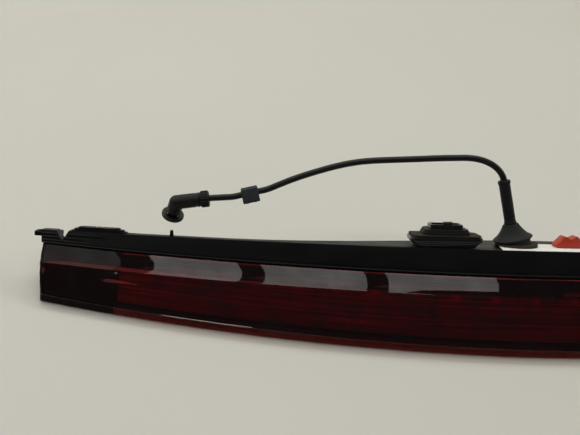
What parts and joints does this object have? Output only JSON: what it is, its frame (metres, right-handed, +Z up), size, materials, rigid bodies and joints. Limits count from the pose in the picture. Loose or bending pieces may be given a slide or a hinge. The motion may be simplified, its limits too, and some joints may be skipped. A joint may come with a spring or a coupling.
{
  "type": "third brake light",
  "caption": "Long bowed high-mounted brake lamp: smoked red lens on a stepped black housing, with a sealed connector and a washer hose ending in an elbow.",
  "frame": {"origin": "middle of the underside: centre of the lamp's bounding box in X and Y, measured without the hose and the pieces on it, at the height of the flat foot that the lens rests on", "axes": "+X along the lamp, +Y from the lens side to the mounting side as the lamp lies on its foot, +Z up; the mounting side is tilted back from +Z by 26.6 degrees"},
  "size_m": [0.836, 0.112, 0.1105],
  "materials": {
    "black_plastic": "satin moulded black plastic",
    "matte_black": "matte moulded black plastic",
    "smoked_lens": "clear smoked red, high gloss",
    "red_optic": "translucent red, ribbed",
    "dark_bezel": "glossy black",
    "reflector": "satin silver coating",
    "circuit_board": "green solder mask",
    "white_plastic": "satin",
    "foam": "closed-cell foam",
    "rubber": "satin",
    "hose_rubber": "glossy",
    "grey_green_rubber": "matte",
    "red_plastic": "satin",
    "brass": "turned",
    "steel": "zinc plated"
  },
  "bodies": {
    "lamp": {"rear_housing": "black_plastic", "outer_lens": "smoked_lens", "lens_seal_bead": "rubber", "vent_cap": "matte_black", "inner_lens": "red_optic", "reflector_tray": "reflector", "end_bezel_left": "dark_bezel", "end_bezel_right": "dark_bezel", "mounting_bush_left": "brass", "mounting_bush_right": "brass", "connector_collar": "black_plastic", "connector_foam_seal": "foam", "connector_boot": "rubber", "connector_shroud": "matte_black", "terminal_1": "brass", "terminal_2": "brass", "supply_lead_1": "red_plastic", "supply_lead_2": "red_plastic", "centre_retainer": "red_plastic", "hose_grommet": "grey_green_rubber", "grommet_sleeve": "rubber", "grommet_foam_pad": "foam", "washer_hose": "hose_rubber", "check_valve": "white_plastic", "feed_tube": "hose_rubber", "nozzle_body": "black_plastic", "nozzle_cap": "matte_black", "led_board_1": "circuit_board", "tray_screw_1": "steel", "led_board_2": "circuit_board", "tray_screw_2": "steel", "led_board_3": "circuit_board", "tray_screw_3": "steel", "led_board_4": "circuit_board", "tray_screw_4": "steel", "board_link_1": "white_plastic", "board_link_2": "white_plastic", "board_link_3": "white_plastic"},
    "lock": {"connector_lock": "matte_black"},
    "clip": {"hose_clip": "grey_green_rubber"},
    "elbow": {"elbow_body": "matte_black", "elbow_collar": "matte_black"},
    "ring": {"release_ring": "matte_black"},
    "jet": {"jet_ball": "brass"}
  },
  "joints": [
    {"name": "lock_slide", "type": "slide", "parent": "lamp", "child": "lock", "axis": [0, 0.4472, 0.8944], "range_m": [0, 0.003]},
    {"name": "clip_slide", "type": "slide", "parent": "lamp", "child": "clip", "axis": [0.9712, 0.1408, 0.1924], "range_m": [-0.003, 0.003]},
    {"name": "elbow_swivel", "type": "hinge", "parent": "lamp", "child": "elbow", "pos_m": [-0.2816, 0.04038, 0.0712], "axis": [-0.9895, -0.0646, -0.1291], "range_deg": [-60, 60]},
    {"name": "ring_press", "type": "slide", "parent": "elbow", "child": "ring", "axis": [0.2752, -0.0816, 0.9579], "range_m": [0, 0.0015], "stiffness_N_per_m": 400},
    {"name": "jet_aim", "type": "hinge", "parent": "lamp", "child": "jet", "pos_m": [0, 0.04118, 0.02764], "axis": [1, 0, 0], "range_deg": [-12, 12]}
  ]
}
